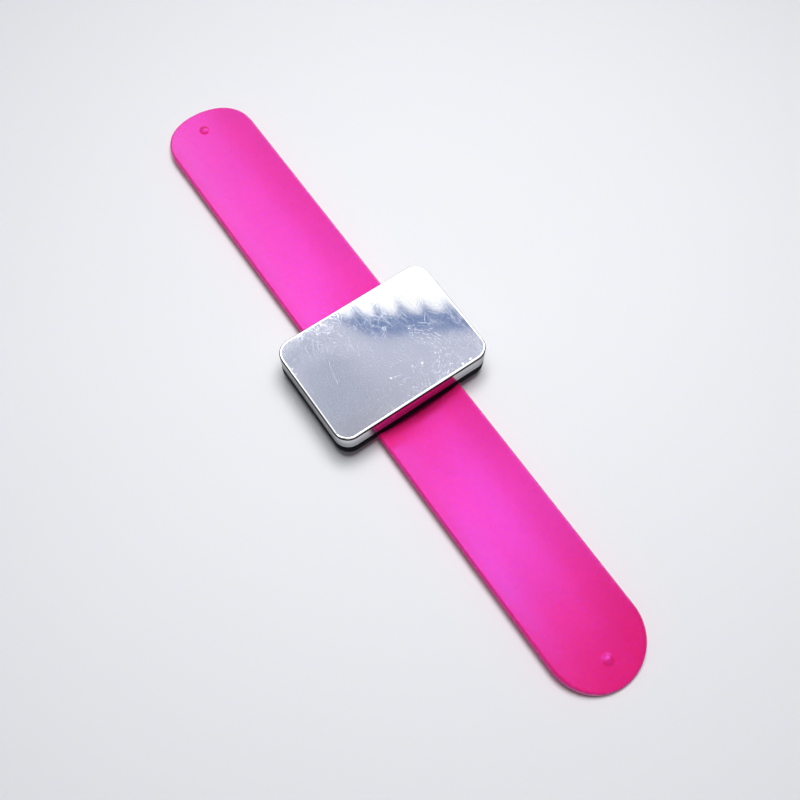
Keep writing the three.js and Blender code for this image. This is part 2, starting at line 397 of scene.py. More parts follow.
def round_mark(f, place, middle, radius):
    """A small round mark on the plate."""
    off_x, off_y = offset(f, place, middle)
    return (off_x * off_x + off_y * off_y).root().below(radius * 0.6, radius)


def arc_scratches(f, place, middle, radii, spacing, heading):
    """Broken arcs round a middle, between two radii and on the side that heading points to."""
    off_x, off_y = offset(f, place, middle)
    away = (off_x * off_x + off_y * off_y).root()
    wobble = f.noise(place, 0.35, 2)
    lines = ((away + wobble * 1.2) * (2 * math.pi / spacing)).sine().above(0.8, 1.0)
    inner, outer = radii
    sector = away.above(inner, inner + 1.5) * away.below(outer - 2, outer)
    sector = sector * (off_x * heading[0] + off_y * heading[1]).above(0.5, 3.5)
    return lines * sector * f.noise(place, 0.9, 3).above(0.45, 0.57)


def hairlines(f, place, degrees, spacing, length, share):
    """Fine parallel hairlines in one direction, broken into strokes."""
    stretched = f.turned(place, degrees, (1 / length, 1 / spacing, 1))
    strokes = f.noise(stretched, 1.0, 1, 0.4)
    return strokes.above(1 - share, 1 - share + 0.03)


# Marks on the plate, in millimetres from its middle. Scratches: start, end and width.
PLATE_SCRATCHES = (
    ((-5.6, -16.0), (-2.4, -17.0), 0.12),
    ((-2.6, -16.9), (2.2, -17.7), 0.11),
    ((-6.2, -11.3), (-5.4, -12.2), 0.13),
    ((9.4, -4.0), (10.5, 0.6), 0.13),
    ((9.0, 4.0), (12.2, 5.1), 0.1),
    ((12.4, 4.6), (15.4, 6.6), 0.11),
    ((13.0, 7.4), (16.6, 9.6), 0.11),
    ((12.6, -2.6), (14.2, -1.0), 0.11),
    ((15.0, -0.6), (17.0, 2.2), 0.1),
    ((5.0, 16.6), (7.2, 17.8), 0.12),
    ((7.0, 17.7), (10.6, 18.6), 0.12),
    ((8.0, 14.0), (11.2, 14.6), 0.1),
    ((-1.4, 14.0), (0.0, 15.8), 0.11),
    ((-0.6, 16.0), (-3.2, 18.4), 0.11),
    ((1.2, 1.0), (3.6, 2.6), 0.1),
    ((2.0, 2.2), (4.6, 3.4), 0.1),
)
# Specks: middle and radius.
PLATE_DOTS = (
    ((9.4, -3.5), 0.45),
    ((10.8, 7.3), 0.5),
    ((18.0, 17.3), 0.5),
    ((17.9, 20.2), 0.5),
    ((-10.1, -26.4), 0.3),
    ((-8.0, -26.3), 0.25),
    ((-15.6, -13.7), 0.3),
)
# A ring-shaped mark: middle, outer and inner radius.
PLATE_RING = ((-5.6, 4.4), 0.85, 0.45)
# Fans of arcs: middle, inner and outer radius, spacing, the side that they are on, and strength.
PLATE_ARCS = (
    ((8.5, 6.5), (4.0, 12.5), 0.85, (0.1, 0.95), 1.0),
    ((12.0, -4.0), (6.5, 12.5), 1.1, (0.4, 0.9), 0.7),
)
# Hairlines: direction in degrees, spacing, length of a stroke, and the share that is kept.
PLATE_HAIRLINES = ((24, 0.24, 9, 0.34), (-38, 0.22, 8, 0.34), (71, 0.26, 7, 0.33), (-8, 0.24, 11, 0.33))


def plate_marks(f, place):
    """Where the plate is marked, from 0 to 1: arcs, scratches, specks, hairlines and nicks."""
    y = f.parts(place)[1]
    fine = hairlines(f, place, *PLATE_HAIRLINES[0])
    for direction in PLATE_HAIRLINES[1:]:
        fine = fine.larger(hairlines(f, place, *direction))
    worn = f.noise(place, 0.11, 3).above(0.36, 0.56) * 0.6 + 0.4
    fine = fine * worn * (y.above(-26, -8) * 0.5 + 0.5)
    middle, outer, inner = PLATE_RING
    bold = (round_mark(f, place, middle, outer) - round_mark(f, place, middle, inner)) * 0.6
    for *fan, strength in PLATE_ARCS:
        bold = bold.larger(arc_scratches(f, place, *fan) * strength)
    for scratch in PLATE_SCRATCHES:
        bold = bold.larger(scratch_line(f, place, *scratch) * 0.65)
    for dot in PLATE_DOTS:
        bold = bold.larger(round_mark(f, place, *dot) * 0.75)
    nicks = f.spots(place, 0.9, 0.12, 0.35)
    return (bold * 0.72 + fine * 0.34 + nicks * 0.45).smaller(1.0)


def steel_finish(settings):
    """Polished stainless steel, handled: a marked and faintly hazy top with a painted glint on its scratches,
    a painted dark reflection under its edge, and a skirt with drawing lines under a painted dimmer
    reflection.
    """
    f = Finish("polished_steel")
    place = f.millimetres((HEAD_X, HEAD_Y, PLATE_HIGH[2]))
    steel = settings.colour
    # Heights are in millimetres over the flat top, so those on the skirt are negative.
    z = f.parts(place)[2]
    top = z.above(-0.35, -0.1)
    side = z.below(-0.22, -0.15)
    # A band just under the top's edge is painted almost black: a painted dark reflection of the horizon on
    # the rounded edge.
    painted_dark_rim_reflection = side * z.above(-1.05, -0.85)
    # The lighter upper band of the skirt is a painted reflection of brighter floor further out.
    upper_skirt = z.above(-4.4, -2.4)
    marks_with_painted_glint = plate_marks(f, place) * top
    speckle = f.noise(place, 3.4, 3, 0.7)
    grit = f.noise(place, 1.7, 2, 0.8).above(0.52, 0.72) * top
    haze = f.noise(place, 0.16, 5, 0.6).above(0.3, 0.8) * top
    drawn = f.noise(f.turned(place, 0, (0.08, 0.08, 3.4)), 1.0, 3, 0.6).above(0.36, 0.62)
    grain = f.noise(place, 2.2, 3, 0.8).above(0.34, 0.66)
    # The skirt is painted a darker copy of the steel as a painted dim reflection, lighter towards its top as
    # a painted reflection; the drawing lines on it are real.
    skirt = f.tint(drawn * 0.55 + upper_skirt * 0.45, (0.4, 0.4, 0.43), (0.76, 0.76, 0.79))
    base = f.tint(grain, shifted(steel, 0.93), shifted(steel, 1.1))
    base = f.layered(
        base,
        (haze * 0.35, (0.9, 0.9, 0.93)),
        (side, skirt),
        (painted_dark_rim_reflection, (0.004, 0.004, 0.005)),
        # Near white over the scratches and specks: a painted glint on real wear, which also gets rougher and
        # dented below.
        (marks_with_painted_glint * 0.6, (0.98, 0.98, 0.98)),
    )
    dull = haze * 0.01 + speckle.above(0.5, 0.8) * 0.05 + grit * 0.035
    f.shade(
        Base_Color=base,
        Metallic=1.0,
        Specular_Tint=(0.5, 0.5, 0.5),
        Roughness=settings.polish + dull + marks_with_painted_glint * 0.22 + side * 0.1,
    )
    f.bumps((f.noise(place, 0.05, 1), 0.008), (marks_with_painted_glint, -0.0012), (speckle, 0.0008))
    return f.material


def plastic_finish(settings):
    """Black moulded plastic with a fine spark-eroded grain, rubbed smoother in patches."""
    f = Finish("moulded_black")
    place = f.millimetres()
    grain = f.noise(place, 4.5, 3, 0.65)
    rubbed = f.noise(place, 0.3, 2)
    base = f.tint(grain, shifted(settings.colour, 0.75), shifted(settings.colour, 1.5))
    f.shade(Base_Color=base, Roughness=0.45 + rubbed * 0.16 + grain * 0.08, Specular_IOR_Level=0.02)
    f.bumps((grain, 0.015))
    return f.material


def foam_finish(settings):
    """Closed-cell foam tape."""
    f = Finish("foam_tape")
    place = f.millimetres()
    cells = f.level("ShaderNodeTexVoronoi", "Distance", Vector=place, Scale=3.5)
    tone = settings.foam_colour
    base = f.tint(cells.above(0.1, 0.7), shifted(tone, 0.5), shifted(tone, 1.6))
    f.shade(Base_Color=base, Roughness=0.9)
    f.bumps((cells, 0.08))
    return f.material


def ferrite_finish():
    """Sintered ferrite: dark grey, dull and slightly pitted."""
    f = Finish("sintered_ferrite")
    place = f.millimetres()
    grit = f.noise(place, 3, 4, 0.7)
    base = f.tint(grit, (0.022, 0.022, 0.024), (0.06, 0.06, 0.064))
    f.shade(Base_Color=base, Roughness=0.62 + grit * 0.2)
    f.bumps((grit, 0.02), (f.spots(place, 0.8, 0.25, 0.4), -0.08))
    return f.material


def spring_finish():
    """Cold-rolled spring strip with rolling lines along it."""
    f = Finish("rolled_spring_strip")
    place = f.millimetres()
    lines = f.noise(f.turned(place, 0, (0.05, 7, 7)), 1.0, 3)
    base = f.tint(lines, (0.42, 0.43, 0.45), (0.62, 0.63, 0.65))
    f.shade(Base_Color=base, Metallic=1.0, Roughness=0.24 + lines * 0.2)
    f.bumps((lines, 0.004))
    return f.material


# Making meshes


def link_object(name, mesh):
    """A new object at the origin that shows a mesh."""
    made = bpy.data.objects.new(name, mesh)
    bpy.context.scene.collection.objects.link(made)
    return made


def coated(made, finish):
    """Gives an object one material."""
    made.data.materials.clear()
    made.data.materials.append(finish)
    return made


def applied(made):
    """Turns an object's modifiers into its plain mesh."""
    graph = bpy.context.evaluated_depsgraph_get()
    mesh = bpy.data.meshes.new_from_object(made.evaluated_get(graph))
    made.modifiers.clear()
    made.data = mesh
    return made


def smooth(made, degrees=32):
    """Smooth faces, with sharp edges where the surface turns quickly."""
    made.data.shade_smooth()
    made.data.set_sharp_from_angle(angle=math.radians(degrees))
    return made


def keep_rest_place(made):
    """Stores where each point lies at rest, which a pattern on a bending piece follows."""
    mesh = made.data
    place = np.empty(len(mesh.vertices) * 3, np.float32)
    mesh.vertices.foreach_get("co", place)
    kept = mesh.attributes.get(REST_PLACE) or mesh.attributes.new(REST_PLACE, "FLOAT_VECTOR", "POINT")
    kept.data.foreach_set("vector", place)
    return made


def clean(mesh, drop_thin=False):
    """Merges a mesh's doubles, drops its thin faces where asked, and turns its faces outwards."""
    work = bmesh.new()
    work.from_mesh(mesh)
    bmesh.ops.remove_doubles(work, verts=work.verts, dist=1e-7)
    if drop_thin:
        bmesh.ops.dissolve_degenerate(work, edges=work.edges, dist=1e-8)
    bmesh.ops.recalc_face_normals(work, faces=work.faces)
    work.to_mesh(mesh)
    work.free()
    mesh.update()


def mesh_of(name, points, faces):
    """A mesh from points and faces, with its doubles merged and its faces turned outwards."""
    mesh = bpy.data.meshes.new(name)
    mesh.from_pydata(points, [], faces)
    clean(mesh, drop_thin=True)
    return mesh


def outward(made):
    """Turns a closed mesh's faces outwards."""
    clean(made.data)
    return made


def wall(loop, count):
    """Faces from a closed loop of points to the one whose numbers are higher by a count."""
    return [(one, two, two + count, one + count) for one, two in zip(loop, loop[1:] + loop[:1])]


def cut(made, cutter):
    """Takes one object's solid out of another's."""
    step = made.modifiers.new("cut", "BOOLEAN")
    step.operation = "DIFFERENCE"
    step.solver = "EXACT"
    step.object = cutter
    applied(made)
    bpy.data.objects.remove(cutter)
    return made


# The strap

EDGE_STEPS = 8
SLOT_POINTS = 120
# The tip's grid: rows across, spokes round the end, and places from the middle to the edge and over it.
TIP_ROWS, TIP_SPOKES, TIP_PLACES, TIP_EDGE_PLACES = 13, 97, 56, 13
TAPE_END_STEPS = 28


class Trough:
    """The strap's section: an arc of even thickness with rounded edges, lowest in its middle."""

    def __init__(self, settings):
        half = settings.width / 2
        self.thickness = settings.thickness
        self.edge = settings.edge_radius
        self.under = (half * half + settings.rise * settings.rise) / (2 * settings.rise)
        self.middle = self.under - self.thickness / 2
        inner = self.under - self.edge
        self.half_angle = math.asin((half - self.edge) / inner) + self.edge / inner
        self.half_arc = self.middle * self.half_angle

    def bent(self, across, over):
        """Y and Z of a place of the flat strip, so far across it and so far over its middle."""
        radius = self.middle - over
        angle = across / self.middle
        return radius * math.sin(angle), self.under - radius * math.cos(angle)

    def height(self, y, over):
        """Height over the ground at a distance across, so far over the strip's middle."""
        radius = self.middle - over
        return self.under - math.sqrt(radius * radius - y * y)


def strap_tree():
    """Geometry Nodes for one length of the sleeve, open at both ends for the tape."""
    tree = bpy.data.node_groups.new("sleeve_length", "GeometryNodeTree")
    lengths = ["Start", "End", "Arc", "Thickness", "Edge Radius"]
    lengths += ["Middle Radius", "Centre", "Tape Arc", "Tape Room"]
    for kind, names in (("Float", lengths), ("Int", ["Around", "Rows"]), ("Material", ["Finish"])):
        for name in names:
            tree.interface.new_socket(name, in_out="INPUT", socket_type=f"NodeSocket{kind}")
    tree.interface.new_socket("Geometry", in_out="OUTPUT", socket_type="NodeSocketGeometry")
    w = Wiring(tree)
    given = w.make("NodeGroupInput").outputs
    rectangle = "GeometryNodeCurvePrimitiveQuadrilateral"
    by_count = {"mode": "COUNT"}

    def bent(curve, start, end, rows):
        """Sweeps a flat outline along the strap and bends it round the trough's centre."""
        flat = {"data_type": "FLOAT_VECTOR"}
        kept = w.make("GeometryNodeStoreNamedAttribute", flat, Geometry=curve, Name="outline")
        value = next(s for s in kept.inputs if s.name == "Value" and s.enabled)
        w.feed(value, w.out("GeometryNodeInputPosition"))
        start, end = (w.joined(place, 0.0, 0.0) for place in (start, end))
        line = w.out("GeometryNodeCurvePrimitiveLine", Start=start, End=end)
        path = w.out("GeometryNodeResampleCurve", by_count, Curve=line, Count=rows)
        swept = w.out("GeometryNodeCurveToMesh", Curve=path, Profile_Curve=kept.outputs[0], Fill_Caps=True)
        across, up, _ = w.parts(w.out("GeometryNodeInputNamedAttribute", flat, Name="outline"))
        along = w.parts(w.out("GeometryNodeInputPosition"))[0]
        radius = Level(w, given["Middle Radius"]) - up
        angle = across / given["Middle Radius"]
        place = w.joined(along, radius * angle.sine(), Level(w, given["Centre"]) - radius * angle.cosine())
        return w.out("GeometryNodeSetPosition", Geometry=swept, Position=place)

    plain = w.out(rectangle, Width=given["Arc"], Height=given["Thickness"])
    rounded = w.out(
        "GeometryNodeFilletCurve",
        {"mode": "POLY"},
        Curve=plain,
        Count=EDGE_STEPS,
        Radius=given["Edge Radius"],
        Limit_Radius=True,
    )
    even = w.out("GeometryNodeResampleCurve", by_count, Curve=rounded, Count=given["Around"])
    outside = bent(even, given["Start"], given["End"], given["Rows"])

    slot = w.out(rectangle, Width=given["Tape Arc"], Height=given["Tape Room"])
    slot = w.out("GeometryNodeResampleCurve", by_count, Curve=slot, Count=SLOT_POINTS)
    before = Level(w, given["Start"]) - given["Thickness"]
    after = Level(w, given["End"]) + given["Thickness"]
    room = bent(slot, before, after, 2)

    hollow = w.make("GeometryNodeMeshBoolean", {"operation": "DIFFERENCE", "solver": "EXACT"})
    w.feed(hollow.inputs["Mesh 1"], outside)
    w.feed(hollow.inputs["Mesh 2"], room)
    real = w.out("GeometryNodeRealizeInstances", Geometry=hollow.outputs[0])
    finished = w.out("GeometryNodeSetMaterial", Geometry=real, Material=given["Finish"])
    w.feed(w.make("NodeGroupOutput").inputs[0], finished)
    return tree


def sleeve_length(name, tree, settings, start, end, finish):
    """One length of the sleeve, made by the tree and turned into a plain mesh."""
    trough = Trough(settings)
    made = link_object(name, bpy.data.meshes.new(name))
    step = made.modifiers.new("sleeve", "NODES")
    step.node_group = tree
    values = {
        "Start": start,
        "End": end,
        "Arc": 2 * trough.half_arc,
        "Thickness": trough.thickness,
        "Edge Radius": trough.edge,
        "Middle Radius": trough.middle,
        "Centre": trough.under,
        "Tape Arc": settings.tape_width,
        "Tape Room": settings.tape_room,
        "Around": settings.around,
        "Rows": settings.rows + 1,
        "Finish": finish,
    }
    for socket in tree.interface.items_tree:
        if socket.in_out == "INPUT":
            step[socket.identifier] = values[socket.name]
    return keep_rest_place(smooth(outward(applied(made))))


def flat_tip(trough, start):
    """The tip's grid before it is bent, as along and across places: cross rows, then a half disc's spokes."""
    radius = trough.half_arc
    centre = TIP - radius
    turns = np.linspace(0, math.pi / 2, TIP_EDGE_PLACES)
    edge_shares = 1 - (1 - np.cos(turns))[::-1] * trough.edge / radius
    flat_shares = np.linspace(0, 1 - trough.edge / radius, TIP_PLACES)
    shares = np.unique(np.round(np.concatenate([flat_shares, edge_shares]), 7))
    across = np.concatenate([-shares[::-1], shares[1:]]) * radius
    rows = [[(x, y) for y in across] for x in np.linspace(start, centre, TIP_ROWS)[:-1]]
    spokes = []
    for angle in np.linspace(-math.pi / 2, math.pi / 2, TIP_SPOKES):
        ahead, aside = math.cos(angle), math.sin(angle)
        spokes.append([(centre + reach * ahead, reach * aside) for reach in radius * shares])
    return rows, spokes, centre, radius


def tip_skin(settings, start, side):
    """Points, faces and the outline's order of the tip's upper or lower skin, side 1 or -1."""
    trough = Trough(settings)
    rows, spokes, centre, radius = flat_tip(trough, start)
    points, faces = [], []

    def add(place):
        x, across = place
        out = abs(across) if x <= centre else math.hypot(x - centre, across)
        over = max(out - (radius - trough.edge), 0.0)
        drop = trough.edge - math.sqrt(max(trough.edge**2 - over**2, 0.0))
        y, z = trough.bent(across, side * (trough.thickness / 2 - drop))
        if side > 0:
            z += nub_height(settings, x, y)
        points.append((x, y, z))
        return len(points) - 1

    grid = [[add(place) for place in row] for row in rows]
    fan = [[add(place) for place in spoke] for spoke in spokes]
    grid.append(fan[0][::-1] + fan[-1][1:])
    for one, two in zip(grid, grid[1:]):
        faces += [(one[i], two[i], two[i + 1], one[i + 1]) for i in range(len(one) - 1)]
    for one, two in zip(fan, fan[1:]):
        faces += [(one[i], one[i + 1], two[i + 1], two[i]) for i in range(len(one) - 1)]
    outline = [row[0] for row in grid[:-1]] + [spoke[-1] for spoke in fan] + [row[-1] for row in grid[-2::-1]]
    return points, faces, outline + grid[0][-2:0:-1]


def nub_height(settings, x, y):
    """Height of the nub over the trough at a place seen from above."""
    away = math.hypot(x - (TIP - settings.nub_from_tip), y) / (settings.nub_diameter / 2)
    if away >= 1:
        return 0.0
    dome = math.sqrt(1 - away * away)
    skirt = 0.5 + 0.5 * math.cos(math.pi * away)
    return settings.nub_height * (0.55 * dome * min((1 - away) * 6, 1.0) + 0.45 * skirt)


def sleeve_tip(name, settings, start, finish):
    """The sleeve's last length: full-round end, rounded edges, a nub, and a room for the tape."""
    upper, upper_faces, rim = tip_skin(settings, start, 1)
    lower, lower_faces, _ = tip_skin(settings, start, -1)
    count = len(upper)
    faces = upper_faces + [tuple(i + count for i in reversed(face)) for face in lower_faces]
    faces += wall(rim, count)
    made = link_object(name, mesh_of(name, upper + lower, faces))
    cut(made, tape_room(settings, start))
    return keep_rest_place(smooth(outward(coated(made, finish))))


def tape_room(settings, start):
    """The solid that the tape's room takes out of the tip: an arched slot with a round end."""
    trough = Trough(settings)
    half = settings.tape_width / 2
    centre = TIP - settings.tape_stop - half
    before = start - settings.thickness
    points, faces = [], []
    for side in (-1, 1):
        for across in np.linspace(-half, half, TAPE_END_STEPS + 1):
            reach = centre + math.sqrt(max(half * half - across * across, 0.0))
            y, z = trough.bent(across, side * settings.tape_room / 2)
            points += [(before, y, z), (reach, y, z)]
    last = 2 * TAPE_END_STEPS
    row = last + 2
    for i in range(0, last, 2):
        faces += [(i, i + 1, i + 3, i + 2), (i + row, i + row + 2, i + row + 3, i + row + 1)]
        faces += [(i + 1, i + row + 1, i + row + 3, i + 3), (i, i + 2, i + row + 2, i + row)]
    faces += [(0, row, row + 1, 1), (last, last + 1, last + row + 1, last + row)]
    return link_object("tape_room", mesh_of("tape_room", points, faces))


def turned_round(made):
    """The same piece for the left tail: turned half round about Z."""
    made.data.transform(Matrix.Rotation(math.pi, 4, "Z"))
    return keep_rest_place(made)


# Rings of rounded rectangles

SMALLEST_CORNER, POCKET_CORNER = 0.1 * MM, 1.2 * MM
POCKET_OVERRUN = 2 * MM
RECESS_POINTS = 49
# The soft edge of the base's shoulder: how far each ring is inwards of the wall and below the shoulder.
SHOULDER_EDGE = ((0, 0.15 * MM), (0.05 * MM, 0.04 * MM), (0.15 * MM, 0))
PAD_SOFT_EDGE, PAD_LINES = 0.15 * MM, 24


def rounded_outline(half_x, half_y, corner, steps=14):
    """Points round a rectangle with rounded corners, from the +X, +Y corner on."""
    points = []
    for quarter, (sign_x, sign_y) in enumerate(((1, 1), (-1, 1), (-1, -1), (1, -1))):
        for step in range(steps + 1):
            angle = math.pi / 2 * (quarter + step / steps)
            x = sign_x * (half_x - corner) + corner * math.cos(angle)
            y = sign_y * (half_y - corner) + corner * math.sin(angle)
            points.append((x, y))
    return points


def ring_stack(name, rings):
    """A closed block on the head's middle through rings, each half X, half Y, corner radius and height."""
    points, faces = [], []
    for half_x, half_y, corner, height in rings:
        points += [(HEAD_X + x, HEAD_Y + y, height) for x, y in rounded_outline(half_x, half_y, corner)]
    count = len(points) // len(rings)
    for first in range(0, len(points) - count, count):
        faces += wall(list(range(first, first + count)), count)
    faces.append(tuple(reversed(range(count))))
    faces.append(tuple(range(len(points) - count, len(points))))
    return link_object(name, mesh_of(name, points, faces))


def inset_ring(size, by, height):
    """A ring at a height, drawn in all round; the size is half X, half Y and corner radius."""
    half_x, half_y, corner = size
    return half_x - by, half_y - by, max(corner - by, SMALLEST_CORNER), height


def edge_rings(size, height, radius, steps=EDGE_STEPS, sign=1):
    """Rings from a wall round an edge to a face at a height, with the wall below it, or above for sign -1."""
    rings = []
    for step in range(steps + 1):
        angle = math.pi / 2 * step / steps
        by = radius * (1 - math.cos(angle))
        rings.append(inset_ring(size, by, height - sign * radius * (1 - math.sin(angle))))
    return rings


def pin_plate_shell(settings):
    """The drawn cap as a hollow shell: skirt, rounded edge and flat top, open below."""
    half_x, half_y, _ = (side / 2 for side in box_size("pin_plate"))
    sheet, corner, edge = settings.sheet, settings.corner_radius, settings.edge_radius
    low, high = PLATE_LOW[2], PLATE_HIGH[2]
    size = (half_x, half_y, corner)
    lip = sheet * 0.3
    lip_edge = ((lip, 0), (lip * 0.3, lip * 0.3), (0, lip), (0, lip * 1.5))
    outer = [inset_ring(size, by, low + over) for by, over in lip_edge]
    outer += edge_rings(size, high, edge)
    outer.append(inset_ring(size, edge + 0.05 * MM, high))
    shell = ring_stack("pin_plate_shell", outer)
    room = (half_x - sheet, half_y - sheet, corner - sheet)
    inner_edge = max(edge - sheet, sheet / 2)
    inner = [(*room, low - sheet), *edge_rings(room, high - sheet, inner_edge)]
    return cut(shell, ring_stack("cap_room", inner))


def strap_recess(strap, base):
    """What the strap takes out of the base's underside."""
    trough = Trough(strap)
    half = strap.width / 2 + base.seat
    reach = box_size("magnet_base")[0]
    across = np.linspace(-half + base.seat, half - base.seat, RECESS_POINTS)
    tops = [trough.height(y, trough.thickness / 2 + base.seat) for y in across]
    outline = [(-half, -half), (half, -half), (half, tops[-1])]
    outline += [*zip(across[::-1], tops[::-1]), (-half, tops[0])]
    count = len(outline)
    points = [(side * reach, y, z) for side in (-1, 1) for y, z in outline]
    faces = wall(list(range(count)), count)
    faces += [tuple(range(count)), tuple(reversed(range(count, 2 * count)))]
    return link_object("strap_recess", mesh_of("strap_recess", points, faces))


def base_body(strap, base, plate):
    """The moulded base: wall, spigot in the cap, two magnet pockets and the strap's recess."""
    half_x, half_y, _ = (side / 2 for side in box_size("magnet_base"))
    size = (half_x, half_y, plate.corner_radius)
    low, high = BASE_LOW[2], BASE_HIGH[2]
    shoulder = low + base.wall_height
    inset = plate.sheet + base.seat
    rings = edge_rings(size, low, base.edge_radius, steps=5, sign=-1)[::-1]
    rings += [inset_ring(size, by, shoulder - under) for by, under in SHOULDER_EDGE]
    rings += [inset_ring(size, inset, height) for height in (shoulder, high)]
    body = ring_stack("magnet_base_body", rings)
    for node in ("front_magnet", "rear_magnet"):
        (size_x, size_y, _), (x, y, _) = box_size(node), box_middle(node)
        pocket = (size_x / 2 + base.seat, size_y / 2 + base.seat, POCKET_CORNER)
        heights = (low + base.floor_height, high + POCKET_OVERRUN)
        room = ring_stack("magnet_room", [(*pocket, height) for height in heights])
        room.data.transform(Matrix.Translation((x - HEAD_X, y - HEAD_Y, 0)))
        cut(body, room)
    return cut(body, strap_recess(strap, base))


def pad_block(name, node, lower):
    """A foam pad with soft edges in a node's box; lower gives its underside's height across."""
    (low_x, low_y, low_z), (high_x, high_y, high_z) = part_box(node)
    soft = min(PAD_SOFT_EDGE, (high_z - low_z) / 4)

    def lines(low, high):
        """Places of the grid's lines between two sides, closer together beside them."""
        return [low, low + soft, *np.linspace(low + 3 * soft, high - 3 * soft, PAD_LINES), high - soft, high]

    xs, ys = lines(low_x, high_x), lines(low_y, high_y)
    points, faces = [], []
    for top in (False, True):
        for x in xs:
            for y in ys:
                rim = min(x - low_x, high_x - x, y - low_y, high_y - y)
                ease = soft * (1 - min(rim / soft, 1.0)) * 0.6
                floor = lower(y)
                z = high_z - ease if top else min(floor + ease, high_z - 2 * ease)
                points.append((x, y, z))
    wide = len(ys)
    count = len(xs) * wide
    for i in range(len(xs) - 1):
        for j in range(wide - 1):
            a = i * wide + j
            faces.append((a, a + 1, a + wide + 1, a + wide))
            faces.append((count + a, count + a + wide, count + a + wide + 1, count + a + 1))
    last = len(xs) - 1
    around = list(range(wide)) + [i * wide + wide - 1 for i in range(1, len(xs))]
    around += [last * wide + j for j in range(wide - 2, -1, -1)] + [i * wide for i in range(last - 1, 0, -1)]
    faces += wall(around, count)
    return link_object(name, mesh_of(name, points, faces))


# Operators


def meeting(side, link):
    """Distance along the strap at which two lengths of the sleeve meet, halfway between two hinges."""
    return (HINGES[f"{side}_curl_{link}"] + HINGES[f"{side}_curl_{link + 1}"]) / 2


class WRISTBAND_OT_strap_lengths(bpy.types.Operator):
    """Make the sleeve's lengths, each reaching across one joint"""

    bl_idname = "wristband.strap_lengths"
    bl_label = "Strap lengths"

    def execute(self, context):
        settings = context.scene.wristband_strap
        finish = silicone_finish(settings)
        tree = strap_tree()
        middle = HINGES["right_curl_1"] / 2
        centre = sleeve_length("strap_middle", tree, settings, -middle, middle, finish)
        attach(centre, "middle")
        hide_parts("centre_sleeve")
        for side, sign in SIDES.items():
            for link in range(1, LINKS):
                after = meeting(side, link)
                before = middle if link == 1 else meeting(side, link - 1)
                made = sleeve_length(f"{side}_strap_{link}", tree, settings, before, after, finish)
                if sign < 0:
                    turned_round(made)
                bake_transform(made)
                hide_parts(f"{side}_sleeve_{link}")
        return {"FINISHED"}


class WRISTBAND_OT_strap_tips(bpy.types.Operator):
    """Make the strap's two full-round tips with their nubs"""

    bl_idname = "wristband.strap_tips"
    bl_label = "Strap tips"

    def execute(self, context):
        settings = context.scene.wristband_strap
        finish = bpy.data.materials["satin_silicone"]
        for side, sign in SIDES.items():
            start = meeting(side, LINKS - 1)
            made = sleeve_tip(f"{side}_strap_tip", settings, start, finish)
            if sign < 0:
                turned_round(made)
            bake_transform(made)
            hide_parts(f"{side}_sleeve_{LINKS}")
        return {"FINISHED"}


class WRISTBAND_OT_pin_plate(bpy.types.Operator):
    """Make the drawn steel cap that pins cling to"""

    bl_idname = "wristband.pin_plate"
    bl_label = "Pin plate"

    def execute(self, context):
        settings = context.scene.wristband_plate
        made = coated(pin_plate_shell(settings), steel_finish(settings))
        smooth(outward(made), degrees=50)
        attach(made, "middle")
        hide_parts("pin_plate")
        return {"FINISHED"}


class WRISTBAND_OT_magnet_base(bpy.types.Operator):
    """Make the moulded base that holds the magnets on the strap"""

    bl_idname = "wristband.magnet_base"
    bl_label = "Magnet base"

    def execute(self, context):
        scene = context.scene
        made = base_body(scene.wristband_strap, scene.wristband_base, scene.wristband_plate)
        coated(made, plastic_finish(scene.wristband_base))
        smooth(outward(made), degrees=40)
        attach(made, "middle")
        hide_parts("magnet_base")
        return {"FINISHED"}


class WRISTBAND_OT_foam_pads(bpy.types.Operator):
    """Make the foam pads under the plate and on the strap"""

    bl_idname = "wristband.foam_pads"
    bl_label = "Foam pads"

    def execute(self, context):
        scene = context.scene
        trough = Trough(scene.wristband_strap)
        seat = scene.wristband_base.seat
        finish = foam_finish(scene.wristband_base)
        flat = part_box("plate_pad")[0][2]
        undersides = {
            "plate_pad": lambda y: flat,
            "strap_pad": lambda y: trough.height(y, trough.thickness / 2 + seat),
        }
        for node, lower in undersides.items():
            made = coated(pad_block(f"{node}_foam", node, lower), finish)
            smooth(made, degrees=60)
            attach(made, "middle")
            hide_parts(node)
        return {"FINISHED"}


class WRISTBAND_OT_inner_parts(bpy.types.Operator):
    """Give the tape and the magnets their finishes"""

    bl_idname = "wristband.inner_parts"
    bl_label = "Tape and magnets"

    def execute(self, context):
        spring, ferrite = spring_finish(), ferrite_finish()
        for name, node in frame["nodes"].items():
            if "_spring" in name:
                node.material_slots[0].material = spring
            elif "_magnet" in name:
                node.material_slots[0].material = ferrite
        return {"FINISHED"}


# The stage

CAMERA_PLACE = (108.744 * MM, -71.766 * MM, 277.619 * MM)
# Degrees: round from +X, up from the floor, and the camera's own roll.
CAMERA_ANGLES = (-35.962, 66.844, 1.149)
FLOOR_REACH, FLOOR_SIDES = 3.0, 64
LAMP_PLACE, LAMP_SIZE = (-0.03, 0.045, 0.5), 0.24
CARD_RISE = 0.6
CARD_CORNERS = ((-1.5, -0.75), (0.7, -0.75), (0.7, 1.35), (-1.5, 1.35))
# The plate mirrors the card this many times smaller, and shifted by so many millimetres on the card.
MIRROR_SCALE, MIRROR_SHIFT = 3.286, (-246.4, 162.9)
WHITE = (1.0, 1.0, 1.0)


